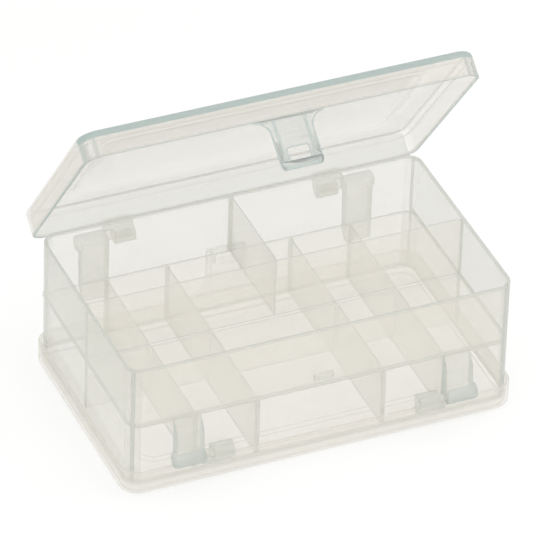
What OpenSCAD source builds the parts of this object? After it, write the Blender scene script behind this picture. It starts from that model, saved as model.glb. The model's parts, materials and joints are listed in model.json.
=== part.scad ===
// Two-sided box for embroidery thread: a case with a floor at mid height and
// compartments on both faces, closed by two hinged lids that are the same moulding.
// X runs along the length, +Y points to the hinge of the top lid, +Z is up.
// The origin is the centre of the footprint, on the outer face of the bottom lid.

/* [Case] */
// Outside length of the case
case_w = 210; // [180:1:240]
// Outside depth of the case
case_d = 124; // [110:1:150]
// Height of the case, from rim to rim
case_h = 70.6; // [60:0.2:90]
// Outside corner radius of the case
case_r = 8; // [6:0.5:12]
// Thickness of the case wall
case_t = 1.5; // [1:0.1:2]
// Thickness of the floor at mid height
floor_t = 1.6; // [1:0.1:2.4]
// Thickness of every divider
divider_t = 1.2; // [0.8:0.1:1.6]
// Distance from the centre to the inner pair of lower cross dividers
inner_divider_x = 34.6; // [25:0.1:45]
// Distance from the centre to the outer pair of lower cross dividers
outer_divider_x = 68.3; // [55:0.1:80]
// How far the free edge of the lower long divider stays inside the rim
long_divider_drop = 4.8; // [2:0.1:12]

/* [Lids] */
// Height of the closed box
closed_h = 84; // [80:0.5:100]
// Height of a lid, from its open edge to its outer face
lid_h = 15; // [12:0.5:20]
// Gap between the case and the lid around it
lid_gap = 0.9; // [0.6:0.1:1.5]
// Thickness of a lid
lid_t = 1.6; // [1.2:0.1:2]
// Outer rounding between a lid's wall and its panel
lid_edge_r = 3; // [2:0.5:5]
// Height of the raised field on a lid
field_rise = 0.8; // [0.4:0.1:1.2]
// Distance from the lid's ends to its raised field
field_inset_x = 19; // [12:0.5:30]
// Distance from the lid's front and back to its raised field
field_inset_y = 24; // [14:0.5:34]
// Corner radius of the raised field
field_r = 9; // [4:0.5:14]
// Opening angle of the top lid
open_angle = 53; // [0:1:110]

/* [Hinges] */
// Distance of a hinge axis from the middle of the case, front to back
axis_y = 67.5; // [67:0.1:70]
// Height of a hinge axis above or below the middle of the case
axis_z = 21; // [18:0.5:22]
// Outside radius of barrels and knuckles
barrel_r = 4.5; // [4:0.1:5]
// Where a barrel begins, from the centre
barrel_x0 = 66.5; // [66:0.1:68]
// Where a barrel ends, from the centre
barrel_x1 = 83; // [80:0.5:88]
// Where a post ends, from the centre
post_x1 = 81; // [78:0.5:82]
// Where a knuckle begins, from the centre
knuckle_x0 = 51; // [45:0.5:56]
// Where a knuckle ends, from the centre
knuckle_x1 = 62; // [60:0.5:63]
// Radius of a hinge pin
pin_r = 2.2; // [1.8:0.05:2.5]
// Play between a pin and its knuckle, on the radius
pin_play = 0.05; // [0.03:0.01:0.1]

/* [Latches] */
// Width of a latch tongue
tongue_w = 22.5; // [18:0.5:28]
// Length of a latch tongue beyond the lid's open edge
tongue_l = 28; // [24:0.5:30]
// Radius of the shoulders that spread a tongue into the lid's edge
shoulder_r = 6; // [3:0.5:8]
// Width of the slot in a tongue
slot_w = 12; // [11:0.5:14]
// Height of the slot in a tongue
slot_h = 7; // [6:0.5:8]
// Height of the slot's middle above the middle of the case
slot_z = 7; // [6:0.5:8]
// Width of a catch on the case
catch_w = 10.5; // [8:0.5:11]
// Height of a catch on the case
catch_h = 4; // [3:0.5:5]
// How far a catch stands out of the case
catch_out = 1.5; // [1:0.1:1.8]

/* [Hidden] */
$fn = 64;
tint = [0.93, 0.93, 0.9, 0.55];
lid_tint = [0.9, 0.92, 0.9, 0.55];
middle = closed_h / 2;
top_rim_z = middle + case_h / 2;
bottom_rim_z = middle - case_h / 2;
floor_top = middle + floor_t / 2;
floor_bottom = middle - floor_t / 2;
inner_r = case_r - case_t;
inner_w = case_w - 2 * case_t;
inner_d = case_d - 2 * case_t;
// The lid's corner centres are the case's own, so its radii count from there
centre_x = case_w - 2 * case_r;
centre_y = case_d - 2 * case_r;
lid_inner_r = case_r + lid_gap;
lid_outer_r = lid_inner_r + lid_t;
lid_d = case_d + 2 * (lid_gap + lid_t);
lid_w = case_w + 2 * (lid_gap + lid_t);
lid_edge_z = closed_h - lid_h;
panel_z = closed_h - field_rise;
seat_gap = 0.3;
seat_h = 1.2;
seat_in = 1.5;
web_drop = 3;
hinge_play = 0.3;
rear_post_end = 29;
front_post_end = floor_bottom;
dividers_x = [-outer_divider_x, -inner_divider_x, inner_divider_x, outer_divider_x];

// Flat outline of a rectangle with round corners
module round_rectangle(w, d, r) {
    square([w - 2 * r, d], center = true);
    square([w, d - 2 * r], center = true);
    for (sx = [-1, 1], sy = [-1, 1])
        translate([sx * (w / 2 - r), sy * (d / 2 - r)]) circle(r);
}

// Carries a profile round the box: its x counts outwards from the corner centres, its y is height
module ring(w, d) {
    for (turn = [0, 180])
        rotate([0, 0, turn]) {
            translate([w / 2, 0, 0]) rotate([90, 0, 0]) linear_extrude(d, center = true) children();
            translate([0, d / 2, 0]) rotate([90, 0, 90]) linear_extrude(w, center = true) children();
        }
    for (sx = [0, 1], sy = [0, 1])
        mirror([sx, 0, 0]) mirror([0, sy, 0])
            translate([w / 2, d / 2, 0]) rotate_extrude(angle = 90) children();
}

// Extrudes a profile drawn in depth and height along X
module along_x(x0, x1) {
    translate([x0, 0, 0]) rotate([90, 0, 90]) linear_extrude(x1 - x0) children();
}

// Puts what is drawn for the closed top lid where the opened one is
module opened() {
    translate([0, axis_y, middle + axis_z]) rotate([-open_angle, 0, 0])
        translate([0, -axis_y, -middle - axis_z]) children();
}

// Turns what is drawn for the upper side of the box over to its lower side
module turned_over() {
    translate([0, 0, middle]) rotate([180, 0, 0]) translate([0, 0, -middle]) children();
}

module case_wall() {
    color(tint) translate([0, 0, bottom_rim_z]) linear_extrude(case_h) difference() {
        round_rectangle(case_w, case_d, case_r);
        round_rectangle(inner_w, inner_d, inner_r);
    }
}

module case_floor() {
    color(tint) translate([0, 0, floor_bottom]) linear_extrude(floor_t)
        round_rectangle(inner_w, inner_d, inner_r);
}

// A divider that fills a box between two corners
module divider(low, high) {
    color(tint) translate(low) cube(high - low);
}

module upper_long_divider() {
    divider([-inner_w / 2, -divider_t / 2, floor_top], [inner_w / 2, divider_t / 2, top_rim_z]);
}

module upper_cross_divider() {
    divider([-divider_t / 2, divider_t / 2, floor_top], [divider_t / 2, inner_d / 2, top_rim_z]);
}

module lower_cross_divider(n) {
    x = dividers_x[n - 1];
    divider([x - divider_t / 2, -inner_d / 2, bottom_rim_z], [x + divider_t / 2, inner_d / 2, floor_bottom]);
}

// The lower long divider runs in segments between the cross dividers and the end walls
module lower_long_divider(n) {
    x0 = n == 1 ? -inner_w / 2 : dividers_x[n - 2] + divider_t / 2;
    x1 = n == 5 ? inner_w / 2 : dividers_x[n - 1] - divider_t / 2;
    divider([x0, -divider_t / 2, bottom_rim_z + long_divider_drop], [x1, divider_t / 2, floor_bottom]);
}

// Post and barrel at the back of the case, on the side that sx names
module hinge_post(sx, end_z) {
    wall_y = case_d / 2;
    dome = 1.5;
    color(tint) mirror([sx < 0 ? 1 : 0, 0, 0]) {
        along_x(barrel_x0, post_x1) polygon([
            [wall_y, middle + axis_z + 3], [axis_y, middle + axis_z + 3],
            [axis_y, middle + axis_z], [axis_y + 1.5, middle + axis_z],
            [axis_y, end_z + 6], [wall_y + 1, end_z], [wall_y, end_z]
        ]);
        translate([barrel_x0, axis_y, middle + axis_z]) rotate([90, 0, 90]) rotate_extrude() {
            square([barrel_r, barrel_x1 - barrel_x0 - dome]);
            square([barrel_r - dome, barrel_x1 - barrel_x0]);
            translate([barrel_r - dome, barrel_x1 - barrel_x0 - dome]) intersection() {
                circle(dome);
                square(dome);
            }
        }
    }
}

// Pin that stands out of a barrel towards the middle of the box
module hinge_pin(sx) {
    color(tint) mirror([sx < 0 ? 1 : 0, 0, 0])
        translate([knuckle_x0 + 1, axis_y, middle + axis_z]) rotate([0, 90, 0])
            cylinder(r = pin_r, h = barrel_x0 - knuckle_x0 - 1);
}

// Nub on the front wall that the top lid's latch snaps over
module latch_catch() {
    nub_z = middle + slot_z - 0.5;
    color(tint) translate([-catch_w / 2, 0, 0]) rotate([90, 0, 90]) linear_extrude(catch_w) polygon([
        [-case_d / 2, nub_z - catch_h / 2], [-case_d / 2, nub_z + catch_h / 2],
        [-case_d / 2 - catch_out + 0.7, nub_z + catch_h / 2],
        [-case_d / 2 - catch_out, nub_z + catch_h / 2 - 0.8],
        [-case_d / 2 - catch_out, nub_z - catch_h / 2]
    ]);
}

module lid_panel() {
    panel_r = lid_outer_r - lid_edge_r;
    panel_w = centre_x + 2 * panel_r;
    panel_d = centre_y + 2 * panel_r;
    field_w = lid_w - 2 * field_inset_x;
    field_d = lid_d - 2 * field_inset_y;
    color(lid_tint) difference() {
        union() {
            translate([0, 0, panel_z - lid_t]) linear_extrude(lid_t)
                round_rectangle(panel_w, panel_d, panel_r);
            translate([0, 0, panel_z]) linear_extrude(field_rise)
                round_rectangle(field_w, field_d, field_r);
        }
        translate([0, 0, panel_z - lid_t - 1]) linear_extrude(field_rise + 1)
            round_rectangle(field_w - 2 * lid_t, field_d - 2 * lid_t, field_r - lid_t);
    }
}

// Section through the lid's wall, its outer rounding and the seat that bears on the case's rim
module rim_profile() {
    bend = lid_outer_r - lid_edge_r;
    seat_z = top_rim_z + seat_gap;
    translate([lid_inner_r, lid_edge_z]) square([lid_t, panel_z - lid_edge_r - lid_edge_z]);
    translate([lid_inner_r - seat_in, seat_z]) square([seat_in + lid_t / 2, seat_h]);
    translate([bend, panel_z - lid_edge_r]) difference() {
        intersection() {
            circle(lid_edge_r);
            square(lid_edge_r);
        }
        circle(lid_edge_r - lid_t);
    }
}

module lid_rim() {
    color(lid_tint) ring(centre_x, centre_y) rim_profile();
}

// Knuckle under the lid's back edge, with the web that carries it and the bore for the pin
module lid_knuckle(sx) {
    wall_y = lid_d / 2;
    axis_h = middle + axis_z;
    color(lid_tint) mirror([sx < 0 ? 1 : 0, 0, 0]) difference() {
        union() {
            along_x(knuckle_x0, knuckle_x1) translate([axis_y, axis_h]) circle(barrel_r);
            along_x(knuckle_x0, barrel_x0 - hinge_play) polygon([
                [wall_y - lid_t + 0.2, axis_h + web_drop], [wall_y - lid_t + 0.2, lid_edge_z],
                [wall_y, lid_edge_z], [wall_y, lid_edge_z + 3],
                [axis_y + 1.5, lid_edge_z], [axis_y + 1.5, axis_h + web_drop]
            ]);
        }
        along_x(knuckle_x0 - 1, knuckle_x1 + 1) translate([axis_y, axis_h]) circle(pin_r + pin_play);
    }
}

// Outline of a tongue below the lid's edge, with shoulders that spread towards its root
module tongue_outline(root, tip) {
    translate([-tongue_w / 2, tip]) square([tongue_w, root - tip]);
    for (sx = [0, 1]) mirror([sx, 0])
        translate([tongue_w / 2, root - shoulder_r]) difference() {
            square(shoulder_r);
            translate([shoulder_r, 0]) circle(shoulder_r);
        }
}

// Sprung tongue at the lid's front, with its slot, two ribs and an outward lip
module lid_latch() {
    root = lid_edge_z - hinge_play;
    tip = lid_edge_z - tongue_l;
    slot_low = middle + slot_z - slot_h / 2;
    outer = lid_d / 2;
    rib_out = 0.5;
    lip_out = 0.9;
    color(lid_tint) {
        difference() {
            translate([0, -outer + lid_t, 0]) rotate([90, 0, 0]) linear_extrude(lid_t)
                tongue_outline(root, slot_low - 1);
            translate([-slot_w / 2, -outer - 1, slot_low]) cube([slot_w, lid_t + 2, slot_h]);
            translate([-tongue_w, -outer + lid_t - lip_out, slot_low - 2])
                cube([2 * tongue_w, lid_t, 2]);
        }
        translate([-tongue_w / 2, -outer - lip_out, tip])
            cube([tongue_w, lid_t, slot_low - tip]);
        for (z = [root - 4, root - 11])
            translate([-tongue_w / 2, -outer - rib_out, z]) cube([tongue_w, rib_out, 1.2]);
    }
}

case_wall();
case_floor();
upper_long_divider();
upper_cross_divider();
lower_cross_divider(1);  // lower_cross_divider_1
lower_cross_divider(2);  // lower_cross_divider_2
lower_cross_divider(3);  // lower_cross_divider_3
lower_cross_divider(4);  // lower_cross_divider_4
lower_long_divider(1);  // lower_long_divider_1
lower_long_divider(2);  // lower_long_divider_2
lower_long_divider(3);  // lower_long_divider_3
lower_long_divider(4);  // lower_long_divider_4
lower_long_divider(5);  // lower_long_divider_5
hinge_post(-1, rear_post_end);  // rear_hinge_post_left
hinge_post(1, rear_post_end);  // rear_hinge_post_right
turned_over() hinge_post(-1, front_post_end);  // front_hinge_post_left
turned_over() hinge_post(1, front_post_end);  // front_hinge_post_right
hinge_pin(-1);  // rear_hinge_pin_left
hinge_pin(1);  // rear_hinge_pin_right
turned_over() hinge_pin(-1);  // front_hinge_pin_left
turned_over() hinge_pin(1);  // front_hinge_pin_right
latch_catch();  // front_catch
turned_over() latch_catch();  // rear_catch
opened() lid_panel();  // top_lid_panel
opened() lid_rim();  // top_lid_rim
opened() lid_knuckle(-1);  // top_lid_knuckle_left
opened() lid_knuckle(1);  // top_lid_knuckle_right
opened() lid_latch();  // top_lid_latch
turned_over() lid_panel();  // bottom_lid_panel
turned_over() lid_rim();  // bottom_lid_rim
turned_over() lid_knuckle(-1);  // bottom_lid_knuckle_left
turned_over() lid_knuckle(1);  // bottom_lid_knuckle_right
turned_over() lid_latch();  // bottom_lid_latch
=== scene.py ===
import json
import math

import bmesh
import bpy
from mathutils import Matrix, Vector
from mathutils.bvhtree import BVHTree


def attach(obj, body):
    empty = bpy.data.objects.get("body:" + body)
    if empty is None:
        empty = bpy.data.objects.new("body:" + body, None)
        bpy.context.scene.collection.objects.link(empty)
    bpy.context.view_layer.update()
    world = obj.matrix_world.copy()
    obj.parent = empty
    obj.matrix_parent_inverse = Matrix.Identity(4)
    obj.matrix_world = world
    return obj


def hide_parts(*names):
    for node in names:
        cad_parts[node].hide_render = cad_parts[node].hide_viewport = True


mm = 0.001

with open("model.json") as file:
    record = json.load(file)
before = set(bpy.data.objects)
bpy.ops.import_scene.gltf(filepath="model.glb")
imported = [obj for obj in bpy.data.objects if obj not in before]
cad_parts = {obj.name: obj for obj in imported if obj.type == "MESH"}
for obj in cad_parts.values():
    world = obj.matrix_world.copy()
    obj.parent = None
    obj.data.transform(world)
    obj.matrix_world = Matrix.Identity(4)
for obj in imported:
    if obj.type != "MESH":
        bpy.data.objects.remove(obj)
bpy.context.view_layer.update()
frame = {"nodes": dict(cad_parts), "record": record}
scene = bpy.context.scene
print("frame loaded:", len(frame["nodes"]), "nodes")

# camera, solved from the straight edges of the case
cameraSetup = {
    "azimuth": -24.1,        # degrees round the box, from its front
    "elevation": 36.4,
    "roll": 2.0,
    "distance": 3200 * mm,
    "focalPixels": 6300,     # in an image 550 pixels wide
    "imageWidth": 550,
    "sensor": 36,
    "target": (-1.7 * mm, 0, 68.7 * mm),
    "aimRight": 0.95 * mm,   # moves the picture left by two pixels
    "clipEnd": 20,
}


def addCamera(c):
    az, el, roll = (math.radians(c[k]) for k in ("azimuth", "elevation", "roll"))
    back = Vector((math.sin(az) * math.cos(el), -math.cos(az) * math.cos(el), math.sin(el)))
    level = Vector((math.cos(az), math.sin(az), 0))
    up = back.cross(level)
    right = math.cos(roll) * level + math.sin(roll) * up
    top = -math.sin(roll) * level + math.cos(roll) * up
    place = Matrix((right, top, back)).transposed().to_4x4()
    place.translation = Vector(c["target"]) + right * c["aimRight"] + back * c["distance"]
    data = bpy.data.cameras.new("camera")
    data.sensor_width = c["sensor"]
    data.lens = c["focalPixels"] / c["imageWidth"] * c["sensor"]
    data.clip_end = c["clipEnd"]
    camera = bpy.data.objects.new("camera", data)
    scene.collection.objects.link(camera)
    camera.matrix_world = place
    scene.camera = camera


addCamera(cameraSetup)


# a node with its settings; each input gets a value, or a link from another node's output
def addNode(tree, kind, inputs=None, **settings):
    node = tree.nodes.new(kind)
    for name, value in settings.items():
        setattr(node, name, value)
    for key, value in (inputs or {}).items():
        if isinstance(value, bpy.types.NodeSocket):
            tree.links.new(value, node.inputs[key])
        else:
            node.inputs[key].default_value = value
    return node


# light and surroundings
studio = {
    "worldLevel": 0.95,      # what the object sees
    "worldShown": 1.0,       # what the camera sees
    "floorTone": (0.955, 0.955, 0.95), "floorRoughness": 0.9, "floorSpecular": 0.1,
    "floorHalf": 3.0,
    "keyPlace": (-0.7, -0.6, 1.3), "keySize": 0.9, "keyPower": 2.5,
    "fillPlace": (0.9, -0.3, 0.9), "fillSize": 0.7, "fillPower": 1.5,
    "aim": (0, 0, 0.06),
}


def addWorld(s):
    world = bpy.data.worlds.new("studio")
    world.use_nodes = True
    scene.world = world
    tree = world.node_tree
    path = addNode(tree, "ShaderNodeLightPath")
    level = addNode(tree, "ShaderNodeMapRange", {
        "Value": path.outputs["Is Camera Ray"], "To Min": s["worldLevel"], "To Max": s["worldShown"]})
    back = tree.nodes["Background"]
    back.inputs["Color"].default_value = (1, 1, 1, 1)
    tree.links.new(level.outputs["Result"], back.inputs["Strength"])


def addFloor(s):
    h = s["floorHalf"]
    mesh = bpy.data.meshes.new("floor")
    mesh.from_pydata([(-h, -h, 0), (h, -h, 0), (h, h, 0), (-h, h, 0)], [], [(0, 1, 2, 3)])
    floor = bpy.data.objects.new("floor", mesh)
    scene.collection.objects.link(floor)
    paper = bpy.data.materials.new("floorPaper")
    paper.use_nodes = True
    shader = paper.node_tree.nodes["Principled BSDF"]
    shader.inputs["Base Color"].default_value = (*s["floorTone"], 1)
    shader.inputs["Roughness"].default_value = s["floorRoughness"]
    shader.inputs["Specular IOR Level"].default_value = s["floorSpecular"]
    mesh.materials.append(paper)


def addLamp(name, place, size, power, aim):
    data = bpy.data.lights.new(name, "AREA")
    data.size = size
    data.energy = power
    lamp = bpy.data.objects.new(name, data)
    scene.collection.objects.link(lamp)
    lamp.location = place
    lamp.rotation_mode = "QUATERNION"
    lamp.rotation_quaternion = (Vector(place) - Vector(aim)).to_track_quat("Z", "Y")


addWorld(studio)
addFloor(studio)
for lamp in ("key", "fill"):
    addLamp(lamp + "Lamp", studio[lamp + "Place"], studio[lamp + "Size"], studio[lamp + "Power"],
            studio["aim"])
scene.view_settings.view_transform = "Standard"
scene.cycles.transparent_max_bounces = 64  # a line of sight passes a dozen walls, two faces each
print("camera, floor and lamps placed")

# moulding marks, shared by every plastic: cloudy haze, faint flow lines and grain
markSizes = {"Cloud size": 60.0, "Flow stretch": 9.0, "Grain size": 900.0}  # scales of the three noises
markSetup = {"cloudDetail": 3, "flowDetail": 2, "grainDetail": 2, "flowAcross": (1, 6, 6), "grainShare": 0.25}


def mouldingMarks(sizes, m):
    group = bpy.data.node_groups.new("mouldingMarks", "ShaderNodeTree")
    face = group.interface
    for name, value in sizes.items():
        face.new_socket(name, in_out="INPUT", socket_type="NodeSocketFloat").default_value = value
    for name in ("Cloud", "Surface"):
        face.new_socket(name, in_out="OUTPUT", socket_type="NodeSocketFloat")
    inside = addNode(group, "NodeGroupInput")
    place = addNode(group, "ShaderNodeTexCoord").outputs["Object"]
    stretch = addNode(group, "ShaderNodeVectorMath", {0: place, 1: m["flowAcross"]}, operation="MULTIPLY")
    cloud = addNode(group, "ShaderNodeTexNoise", {
        "Vector": place, "Scale": inside.outputs["Cloud size"], "Detail": m["cloudDetail"]})
    flow = addNode(group, "ShaderNodeTexNoise", {
        "Vector": stretch.outputs["Vector"], "Scale": inside.outputs["Flow stretch"],
        "Detail": m["flowDetail"]})
    grain = addNode(group, "ShaderNodeTexNoise", {
        "Vector": place, "Scale": inside.outputs["Grain size"], "Detail": m["grainDetail"]})
    both = addNode(group, "ShaderNodeMath", {
        0: cloud.outputs["Fac"], 1: flow.outputs["Fac"]}, operation="MULTIPLY")
    height = addNode(group, "ShaderNodeMath", {
        0: grain.outputs["Fac"], 1: m["grainShare"], 2: flow.outputs["Fac"]}, operation="MULTIPLY_ADD")
    addNode(group, "NodeGroupOutput", {"Cloud": both.outputs["Value"], "Surface": height.outputs["Value"]})
    return group


marks = mouldingMarks(markSizes, markSetup)

# tone and haze where the plastic is thin and where it is thick; greying and grazing add to slanting faces
plastics = {
    "casePlastic": {
        "thinTone": (0.75, 0.72, 0.64), "thickTone": (0.435, 0.495, 0.47), "greying": 0.6,
        "thinVeil": 0.20, "thickVeil": 0.72, "grazing": 0.42, "roughness": 0.22, "bump": 0.02,
    },
    "lidPlastic": {
        "thinTone": (0.735, 0.70, 0.63), "thickTone": (0.385, 0.465, 0.44), "greying": 0.2,
        "thinVeil": 0.205, "thickVeil": 0.85, "grazing": 0.42, "roughness": 0.2, "bump": 0.02,
    },
    "tonguePlastic": {
        "thinTone": (0.70, 0.69, 0.64), "thickTone": (0.40, 0.505, 0.51), "greying": 0.3,
        "thinVeil": 0.205, "thickVeil": 0.8, "grazing": 0.3, "roughness": 0.2, "bump": 0.02,
    },
}
haze = {
    "thin": 1.7, "thick": 14.0,          # plastic behind a face, in mm, where thin and thick tone apply
    "shadowShare": 0.16,                 # share of a sheet's haze that still holds light back
    "steepness": 2.5,                    # the higher, the more a face has to slant
    "cloud": (-0.02, 0.05),              # what the cloudy marks add, least and most
    "roughnessSpread": (-0.06, 0.12),
    "bumpHeight": 0.2 * mm, "index": 1.49,
}


def makePlastic(name, p, h):
    material = bpy.data.materials.new(name)
    material.use_nodes = True
    tree = material.node_tree
    depth = addNode(tree, "ShaderNodeAttribute", attribute_name="depth")
    # without a clamp, a depth under the thin one makes a piece clearer still
    thick = addNode(tree, "ShaderNodeMapRange", {
        "Value": depth.outputs["Fac"], "From Min": h["thin"], "From Max": h["thick"]}, clamp=False)
    edge = addNode(tree, "ShaderNodeLayerWeight")
    steep = addNode(tree, "ShaderNodeMath", {
        0: edge.outputs["Facing"], 1: h["steepness"]}, operation="POWER")
    longWay = addNode(tree, "ShaderNodeMath", {
        0: steep.outputs["Value"], 1: p["greying"], 2: thick.outputs["Result"]},
        operation="MULTIPLY_ADD", use_clamp=True)
    tone = addNode(tree, "ShaderNodeMix", {
        "Factor": longWay.outputs["Value"], "A": (*p["thinTone"], 1), "B": (*p["thickTone"], 1)},
        data_type="RGBA")
    veil = addNode(tree, "ShaderNodeMapRange", {
        "Value": thick.outputs["Result"], "To Min": p["thinVeil"], "To Max": p["thickVeil"]}, clamp=False)
    shine = addNode(tree, "ShaderNodeMapRange", {"Value": steep.outputs["Value"], "To Max": p["grazing"]})
    detail = addNode(tree, "ShaderNodeGroup", node_tree=marks)
    cloudLow, cloudHigh = h["cloud"]
    cloudy = addNode(tree, "ShaderNodeMapRange", {
        "Value": detail.outputs["Cloud"], "To Min": cloudLow, "To Max": cloudHigh})
    total = addNode(tree, "ShaderNodeMath", {
        0: veil.outputs["Result"], 1: shine.outputs["Result"]}, operation="ADD")
    alpha = addNode(tree, "ShaderNodeMath", {
        0: total.outputs["Value"], 1: cloudy.outputs["Result"]}, operation="ADD", use_clamp=True)
    path = addNode(tree, "ShaderNodeLightPath")
    unseen = addNode(tree, "ShaderNodeMath", {
        0: path.outputs["Is Shadow Ray"], 1: path.outputs["Is Diffuse Ray"]}, operation="MAXIMUM")
    lit = addNode(tree, "ShaderNodeMapRange", {
        "Value": unseen.outputs["Value"], "To Min": 1, "To Max": h["shadowShare"]})
    held = addNode(tree, "ShaderNodeMath", {
        0: alpha.outputs["Value"], 1: lit.outputs["Result"]}, operation="MULTIPLY")
    smoothest, roughest = (p["roughness"] + change for change in h["roughnessSpread"])
    rough = addNode(tree, "ShaderNodeMapRange", {
        "Value": detail.outputs["Cloud"], "To Min": smoothest, "To Max": roughest})
    bump = addNode(tree, "ShaderNodeBump", {
        "Strength": p["bump"], "Distance": h["bumpHeight"], "Height": detail.outputs["Surface"]})
    shader = tree.nodes["Principled BSDF"]
    shader.inputs["IOR"].default_value = h["index"]
    for socket, source in (("Base Color", tone.outputs["Result"]), ("Alpha", held.outputs["Value"]),
                           ("Roughness", rough.outputs["Result"]), ("Normal", bump.outputs["Normal"])):
        tree.links.new(source, shader.inputs[socket])
    return material


casePlastic, lidPlastic, tonguePlastic = (makePlastic(name, p, haze) for name, p in plastics.items())
plasticOf = {"case": casePlastic, "top_lid": lidPlastic, "bottom_lid": lidPlastic,
             "top_latch": tonguePlastic, "bottom_latch": tonguePlastic}
print("plastics made")

# copies are a hair smaller than their nodes, so that faces that touch are both seen
softening = {
    "radius": 0.15 * mm, "steps": 2, "shrink": 0.02 * mm, "weld": 0.002 * mm,
    "flatAngle": 0.5, "sharpAngle": 35, "shadeAngle": 40,
}
cutPlay = 0.001 * mm

# least and most plastic, in mm, that a face of such a kind is taken to have behind it
depthLimits = {
    "sheet": (0.0, 9.0), "wall": (0.0, 8.5), "sideWall": (2.4, 8.5), "backWall": (3.4, 8.5),
    "lowFront": (0.0, 0.3), "corner": (4.0, 8.5), "cornerRib": (10.0, 11.0), "fillet": (6.2, 6.8),
    "post": (3.5, 5.0), "postSide": (6.0, 9.0), "rearBarrel": (4.5, 6.5), "frontBarrel": (10.0, 10.0),
    "knuckle": (5.5, 6.0), "pin": (4.0, 6.0), "catch": (5.0, 9.0),
    "lidRim": (0.0, 14.0), "rearRim": (5.0, 8.0), "lidPanel": (0.0, 4.0), "lip": (5.0, 6.0),
    "latch": (5.0, 6.0), "jointFace": (-1.5, -1.0), "rib": (9.0, 11.0),
    "lowPanel": (-1.2, 1.0), "lowRim": (-0.5, 2.5), "ghost": (-1.5, -0.5),
}
# kinds by the words in a node's name; the first that fits is used
kindWords = (("bottom_lid_rim", "lowRim"), ("bottom_lid_panel", "lowPanel"), ("bottom_lid_latch", "ghost"),
             ("rear_catch", "ghost"), ("post", "post"), ("knuckle", "knuckle"), ("pin", "pin"),
             ("catch", "catch"), ("latch", "latch"), ("wall", "wall"), ("lid_panel", "lidPanel"),
             ("lid_rim", "lidRim"), ("", "sheet"))
# shares of a face's normal along an axis, by which the faces of a piece are told apart
leaning = {"along": 0.7, "corner": 0.1, "joint": 0.4, "upright": 0.5}
depthRay = {"start": 0.01 * mm, "reach": 300 * mm, "otherwise": 1.5}
hinges = {"y": 67.5 * mm, "high": 63 * mm, "low": 21 * mm, "middle": 42 * mm, "barrelRadius": 4.7 * mm}

# how the lids stand, and the top lid's front rounding, which is looked through along its panel
lidBand = {"openAngle": 53, "closedHeight": 84 * mm, "above": 79 * mm, "facing": -0.2, "depth": 14.0}
# painted reflection streaks up its corners' rounding, dark ones for painted shade and a clear one for a
# painted highlight: from one share of the normal along x to another, a depth in mm
lidCorner = {"x": 97 * mm, "y": 54 * mm, "paintedStreaks": ((0.8, 0.97, 9.0), (0.5, 0.75, -1.5), (0.25, 0.45, 6.0))}

# rounding of the two corners at the tip of a tongue, by planes at these angles
tipCorner = {"radius": 2.6 * mm, "angles": (22.5, 45, 67.5), "near": 0.1 * mm}


# the turn that closes the opened top lid, or that lays the bottom lid where the closed top lid is
def closingTurn(lid):
    if lid == "top_lid":
        axis = Matrix.Translation((0, hinges["y"], hinges["high"]))
        return axis @ Matrix.Rotation(math.radians(lidBand["openAngle"]), 4, "X") @ axis.inverted()
    return Matrix.Translation((0, 0, lidBand["closedHeight"])) @ Matrix.Rotation(math.pi, 4, "X")


def cutByPlane(mesh, place, out, dropOuter):
    return bmesh.ops.bisect_plane(mesh, geom=mesh.verts[:] + mesh.edges[:] + mesh.faces[:], dist=cutPlay,
                                  plane_co=place, plane_no=out, clear_outer=dropOuter)


def roundTip(mesh, turn):
    t = tipCorner
    places = [turn @ v.co for v in mesh.verts]
    low = min(p.z for p in places)
    half = max(p.x for p in places if p.z < low + t["near"])
    back = turn.inverted()
    for side in (-1, 1):
        centre = Vector((side * (half - t["radius"]), 0, low + t["radius"]))
        for angle in t["angles"]:
            out = Vector((side * math.cos(math.radians(angle)), 0, -math.sin(math.radians(angle))))
            cut = cutByPlane(mesh, back @ (centre + out * t["radius"]), back.to_3x3() @ out, True)
            rim = [e for e in cut["geom_cut"] if isinstance(e, bmesh.types.BMEdge)]
            bmesh.ops.holes_fill(mesh, edges=rim)


# a copy of a node with its moulded edges rounded
def softenNode(node):
    s = softening
    mesh = bmesh.new()
    mesh.from_mesh(frame["nodes"][node].data)
    bmesh.ops.remove_doubles(mesh, verts=mesh.verts, dist=s["weld"])
    bmesh.ops.dissolve_limit(mesh, angle_limit=math.radians(s["flatAngle"]), verts=mesh.verts,
                             edges=mesh.edges)
    if "latch" in node:
        roundTip(mesh, closingTurn("top_lid" if "top" in node else "bottom_lid"))
    sharp = [e for e in mesh.edges if len(e.link_faces) == 2
             and e.calc_face_angle() > math.radians(s["sharpAngle"])]
    bmesh.ops.bevel(mesh, geom=sharp, offset=s["radius"], offset_type="OFFSET", segments=s["steps"],
                    profile=0.5, affect="EDGES", clamp_overlap=True)
    bmesh.ops.remove_doubles(mesh, verts=mesh.verts, dist=s["weld"])
    flaps = {f for e in mesh.edges if len(e.link_faces) == 1 for f in e.link_faces}
    bmesh.ops.delete(mesh, geom=list(flaps), context="FACES")
    mesh.normal_update()
    for vertex in mesh.verts:
        vertex.co -= vertex.normal * s["shrink"]
    bmesh.ops.triangulate(mesh, faces=[f for f in mesh.faces if len(f.verts) > 4])
    for face in mesh.faces:
        face.smooth = True
    name = node + "_moulded"
    data = bpy.data.meshes.new(name)
    mesh.to_mesh(data)
    mesh.free()
    data.set_sharp_from_angle(angle=math.radians(s["shadeAngle"]))
    piece = bpy.data.objects.new(name, data)
    scene.collection.objects.link(piece)
    return piece


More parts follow.
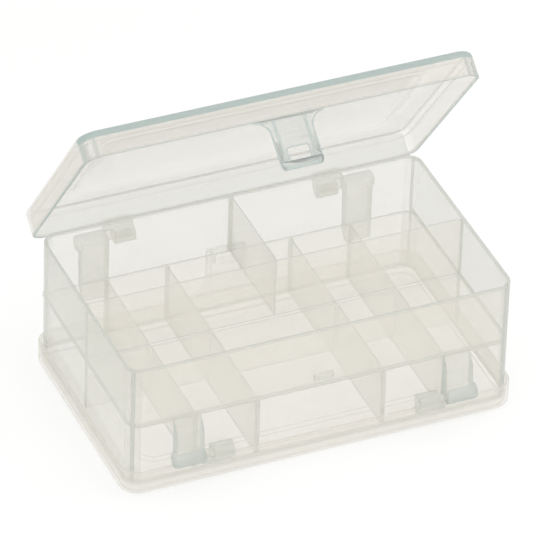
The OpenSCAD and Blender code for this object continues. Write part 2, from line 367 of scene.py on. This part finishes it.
# the kind of the face at a place with a normal, where that differs from the kind of its piece
def kindAt(kind, place, normal):
    upper = place.z > hinges["middle"]
    alongX, alongY = (abs(n) > leaning["along"] for n in normal.xy)
    if kind == "post":
        height = hinges["high"] if upper else hinges["low"]
        if math.hypot(abs(place.y) - hinges["y"], place.z - height) < hinges["barrelRadius"]:
            return "rearBarrel" if upper else "frontBarrel"
        return "postSide" if alongX else kind
    if kind == "wall":
        if min(abs(normal.x), abs(normal.y)) > leaning["corner"]:
            return "corner"
        if upper and alongX:
            return "sideWall"
        if upper and place.y > 0:
            return "backWall"
        return "lowFront" if not upper and place.y < 0 and alongY else kind
    if kind == "lidRim" and place.y > 0 and alongY:
        return "rearRim"
    if kind == "latch" and abs(normal.z) > leaning["joint"]:
        return "jointFace"
    return kind


# the set depth of a face in the top lid's front band or in a painted reflection streak of its front corners
def bandDepth(place, normal):
    if place.y < 0 and place.z > lidBand["above"] and normal.y < lidBand["facing"]:
        return lidBand["depth"]
    inCorner = place.y < -lidCorner["y"] and abs(place.x) > lidCorner["x"]
    if inCorner and abs(normal.z) < leaning["upright"]:
        # a deep strip paints a dark reflection streak, the negative one paints a highlight
        for least, most, depth in lidCorner["paintedStreaks"]:
            if least < abs(normal.x) < most:
                return depth
    return None


# stores on every face how much plastic lies behind it; a turn lays the piece where its kinds are told
def storeDepth(piece, kind, turn=Matrix.Identity(4)):
    data = piece.data
    tree = BVHTree.FromPolygons([v.co for v in data.vertices], [p.vertices for p in data.polygons])
    layer = data.attributes.new("depth", "FLOAT", "FACE")
    for p in data.polygons:
        place, normal = turn @ p.center, turn.to_3x3() @ p.normal
        kindHere = kindAt(kind, place, normal)
        value = bandDepth(place, normal) if kindHere == "lidRim" else None
        if value is None:
            hit = tree.ray_cast(p.center - p.normal * depthRay["start"], -p.normal, depthRay["reach"])
            low, high = depthLimits[kindHere]
            value = min(max(hit[3] / mm if hit[0] else depthRay["otherwise"], low), high)
        layer.data[p.index].value = value


def finishPiece(piece, body):
    if not piece.data.materials:
        piece.data.materials.append(plasticOf[body])
    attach(piece, body)


# an edge loop round a piece at a height, where the kinds of its faces change
def cutLoop(piece, height, turn):
    back = turn.inverted()
    mesh = bmesh.new()
    mesh.from_mesh(piece.data)
    cutByPlane(mesh, back @ Vector((0, 0, height)), back.to_3x3() @ Vector((0, 0, 1)), False)
    mesh.to_mesh(piece.data)
    mesh.free()


def dressNode(node, body):
    turn = closingTurn("top_lid") if body in ("top_lid", "top_latch") else Matrix.Identity(4)
    piece = softenNode(node)
    if node == "top_lid_rim":
        cutLoop(piece, lidBand["above"], turn)
    if node == "case_wall":
        cutLoop(piece, hinges["middle"], turn)
    storeDepth(piece, next(kind for word, kind in kindWords if word in node), turn)
    finishPiece(piece, body)
    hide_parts(node)


for body, nodes in frame["record"]["behaviour"]["bodies"].items():
    for node in nodes:
        dressNode(node, body)
    print("dressed", body, len(nodes))

# a round bead along a path, with the corner and the radius stored on the path's points
beadSteps = {"Corner steps": 8, "Round steps": 10}


def beadTree(steps):
    tree = bpy.data.node_groups.new("beadAlongPath", "GeometryNodeTree")
    face = tree.interface
    face.new_socket("Geometry", in_out="INPUT", socket_type="NodeSocketGeometry")
    for name, value in steps.items():
        face.new_socket(name, in_out="INPUT", socket_type="NodeSocketInt").default_value = value
    face.new_socket("Material", in_out="INPUT", socket_type="NodeSocketMaterial")
    face.new_socket("Geometry", in_out="OUTPUT", socket_type="NodeSocketGeometry")
    inside = addNode(tree, "NodeGroupInput").outputs
    corner = addNode(tree, "GeometryNodeInputNamedAttribute", {"Name": "cornerSize"})
    radius = addNode(tree, "GeometryNodeInputNamedAttribute", {"Name": "radiusSize"})
    path = addNode(tree, "GeometryNodeMeshToCurve", {"Mesh": inside["Geometry"]})
    turn = addNode(tree, "GeometryNodeFilletCurve", mode="POLY")
    turn.inputs["Limit Radius"].default_value = True
    tree.links.new(path.outputs["Curve"], turn.inputs["Curve"])
    tree.links.new(corner.outputs["Attribute"], turn.inputs["Radius"])
    tree.links.new(inside["Corner steps"], turn.inputs["Count"])
    ring = addNode(tree, "GeometryNodeCurvePrimitiveCircle", {
        "Radius": 1, "Resolution": inside["Round steps"]})
    sweep = addNode(tree, "GeometryNodeCurveToMesh", {
        "Curve": turn.outputs["Curve"], "Profile Curve": ring.outputs["Curve"],
        "Scale": radius.outputs["Attribute"], "Fill Caps": True})
    real = addNode(tree, "GeometryNodeRealizeInstances", {"Geometry": sweep.outputs["Mesh"]})
    paint = addNode(tree, "GeometryNodeSetMaterial", {
        "Geometry": real.outputs["Geometry"], "Material": inside["Material"]})
    addNode(tree, "NodeGroupOutput", {"Geometry": paint.outputs["Geometry"]})
    return tree


beads = beadTree(beadSteps)


# sweeps a round bead along each path and joins what comes out into one mesh
def addBeads(name, body, paths, kind):
    points, edges, sizes = [], [], {"cornerSize": [], "radiusSize": []}
    for path in paths:
        first, line = len(points), path["line"]
        points += [tuple(v) for v in line]
        edges += [(first + i, first + i + 1) for i in range(len(line) - 1)]
        if path["closed"]:
            edges.append((first + len(line) - 1, first))
        for key in sizes:
            sizes[key] += [path[key]] * len(line)
    base = bpy.data.meshes.new(name + "Path")
    base.from_pydata(points, edges, [])
    for key, row in sizes.items():
        base.attributes.new(key, "FLOAT", "POINT").data.foreach_set("value", row)
    piece = bpy.data.objects.new(name, base)
    scene.collection.objects.link(piece)
    modifier = piece.modifiers.new("beads", "NODES")
    modifier.node_group = beads
    for item in beads.interface.items_tree:
        if item.in_out == "INPUT" and item.name == "Material":
            modifier[item.identifier] = plasticOf[body]
    seen = piece.evaluated_get(bpy.context.evaluated_depsgraph_get())
    data = bpy.data.meshes.new_from_object(seen)
    piece.modifiers.clear()
    mesh = bmesh.new()
    mesh.from_mesh(data)
    bmesh.ops.recalc_face_normals(mesh, faces=mesh.faces)
    for face in mesh.faces:
        face.smooth = True
    mesh.to_mesh(data)
    mesh.free()
    data.name = name
    piece.data = data
    bpy.data.meshes.remove(base)
    storeDepth(piece, kind)
    finishPiece(piece, body)


def beadPath(line, radius, corner=0, closed=False):
    return {"line": line, "closed": closed, "cornerSize": corner, "radiusSize": radius}


def roundRectangle(width, depth, z):
    w, d = width / 2, depth / 2
    return [Vector((-w, -d, z)), Vector((w, -d, z)), Vector((w, d, z)), Vector((-w, d, z))]


# fillets along the floor and the divider ends, thick corners and rims of the wall
fillets = {
    "width": 206.6 * mm, "depth": 120.6 * mm, "corner": 6.3 * mm, "radius": 0.5 * mm,
    "levels": (42.95 * mm, 41.05 * mm), "beside": 0.85 * mm,
    "dividers": (-68.3 * mm, -34.6 * mm, 34.6 * mm, 68.3 * mm), "low": 7.2 * mm, "high": 76.8 * mm,
    "longDividerLow": 12 * mm,
    "wallWidth": 208.3 * mm, "wallDepth": 122.3 * mm, "wallCorner": 7.15 * mm, "wallRadius": 0.8 * mm,
    "wallLevels": (7.55 * mm, 76.45 * mm), "cornerCentre": (97 * mm, 54 * mm), "frontRadius": 1.1 * mm,
}


def upright(x, y, low, high, radius):
    return beadPath([Vector((x, y, low)), Vector((x, y, high))], radius)


# an upright in a corner of the wall
def cornerUpright(f, side, rear, radius):
    x, y = f["cornerCentre"]
    out = (f["wallCorner"] + f["wallRadius"] - radius) * math.sqrt(0.5)
    return upright(side * (x + out), rear * (y + out), f["low"], f["high"], radius)


def caseFillets(f):
    paths = []
    for z in f["levels"]:
        frontLeft, frontRight, rearRight, rearLeft = roundRectangle(f["width"], f["depth"], z)
        paths.append(beadPath([rearLeft, frontLeft, frontRight, rearRight], f["radius"], f["corner"]))
    for z in f["wallLevels"]:
        loop = roundRectangle(f["wallWidth"], f["wallDepth"], z)
        paths.append(beadPath(loop, f["wallRadius"], f["wallCorner"], True))
    endX, endY, radius = f["width"] / 2, f["depth"] / 2, f["radius"]
    floorHigh, floorLow = f["levels"]
    for side in (-1, 1):
        beside = side * f["beside"]
        for x in f["dividers"]:
            paths += [upright(x + beside, y, f["low"], floorLow, radius) for y in (-endY, endY)]
        paths += [upright(x, beside, floorHigh, f["high"], radius) for x in (-endX, endX)]
        paths += [upright(x, beside, f["longDividerLow"], floorLow, radius) for x in (-endX, endX)]
        paths.append(upright(beside, endY, floorHigh, f["high"], radius))
        paths.append(cornerUpright(f, side, 1, f["wallRadius"]))
    return paths


addBeads("case_fillets", "case", caseFillets(fillets), "fillet")
addBeads("case_corner_ribs", "case",
         [cornerUpright(fillets, side, -1, fillets["frontRadius"]) for side in (-1, 1)], "cornerRib")

# outline, ribs, lip and slot edge of a tongue, drawn on the closed top lid
tongue = {
    "face": -64.6 * mm, "half": 11.1 * mm, "root": 68.2 * mm, "tip": 41.6 * mm,
    "flare": 8 * mm, "flareSteps": 8, "corner": 3 * mm, "radius": 0.5 * mm,
    "ribHalf": 8.3 * mm, "ribTop": 67.5 * mm, "ribLow": 43.4 * mm, "ribRadius": 0.75 * mm,
    "lip": 42.4 * mm, "lipHalf": 9.6 * mm, "lipRadius": 1.2 * mm,
    "slotHalf": 6.2 * mm, "slotHigh": 52.7 * mm, "slotLow": 45.3 * mm, "slotCorner": 2 * mm,
    "slotRadius": 0.4 * mm,
}
# open edge of a lid, thin at the front, and beads where its front corners begin and end that paint dark
# reflection streaks
lip = {
    "width": 213.4 * mm, "depth": 127.4 * mm, "corner": 9.7 * mm, "height": 69.8 * mm,
    "radius": 0.75 * mm, "frontRadius": 0.4 * mm, "frontReach": 10.5 * mm,
    "cornerCentre": (97 * mm, 54 * mm),
    "paintedStreakAngles": (22, 68), "paintedStreakRadius": 0.75 * mm, "paintedStreakTop": 80.4 * mm,
}


def tongueOutline(t):
    turns = [math.pi / 2 * i / t["flareSteps"] for i in range(t["flareSteps"] + 1)]
    side = [(t["half"] + t["flare"] * (1 - math.sin(a)), t["root"] - t["flare"] * (1 - math.cos(a)))
            for a in turns]
    side.append((t["half"], t["tip"]))
    left = [Vector((-x, t["face"], z)) for x, z in side]
    return left + [Vector((x, t["face"], z)) for x, z in reversed(side)]


def tonguePaths(t, back):
    y, slot = t["face"], t["slotHalf"]
    slotEdge = [Vector((x, y, t[z])) for x, z in
                ((-slot, "slotLow"), (slot, "slotLow"), (slot, "slotHigh"), (-slot, "slotHigh"))]
    paths = [beadPath(tongueOutline(t), t["radius"], t["corner"]),
             beadPath(slotEdge, t["slotRadius"], t["slotCorner"], True),
             beadPath([Vector((x * t["lipHalf"], y, t["lip"])) for x in (-1, 1)], t["lipRadius"])]
    for x in (-t["ribHalf"], t["ribHalf"]):
        paths.append(upright(x, y, t["ribLow"], t["ribTop"], t["ribRadius"]))
    for path in paths:
        path["line"] = [back @ p for p in path["line"]]
    return paths


def lipPaths(v, back):
    corners = [back @ p for p in roundRectangle(v["width"], v["depth"], v["height"])]
    frontLeft, frontRight, rearRight, rearLeft = corners
    left = frontLeft + (rearLeft - frontLeft).normalized() * v["frontReach"]
    right = frontRight + (rearRight - frontRight).normalized() * v["frontReach"]
    return [beadPath([left, frontLeft, frontRight, right], v["frontRadius"], v["corner"]),
            beadPath([left, rearLeft, rearRight, right], v["radius"], v["corner"])]


# upright beads on a lid's rounded front corners, painted dark reflection streaks
def paintedStreakPaths(v, back):
    paths = []
    centreX, centreY = v["cornerCentre"]
    for side in (-1, 1):
        for angle in v["paintedStreakAngles"]:
            x = side * (centreX + v["corner"] * math.cos(math.radians(angle)))
            y = -centreY - v["corner"] * math.sin(math.radians(angle))
            line = [back @ Vector((x, y, v[z])) for z in ("height", "paintedStreakTop")]
            paths.append(beadPath(line, v["paintedStreakRadius"]))
    return paths


# the bottom lid's beads are kept faint, because the box is looked through
for lid, latch, kinds in (("top_lid", "top_latch", ("rib", "lip", "rib")),
                          ("bottom_lid", "bottom_latch", ("ghost", "lowRim", "lowRim"))):
    back = closingTurn(lid).inverted()
    addBeads(latch + "_ribs", latch, tonguePaths(tongue, back), kinds[0])
    addBeads(lid + "_lip", lid, lipPaths(lip, back), kinds[1])
    # the corner beads paint dark reflection streaks on the lid
    addBeads(lid + "_corner_ribs", lid, paintedStreakPaths(lip, back), kinds[2])
print("beads made")
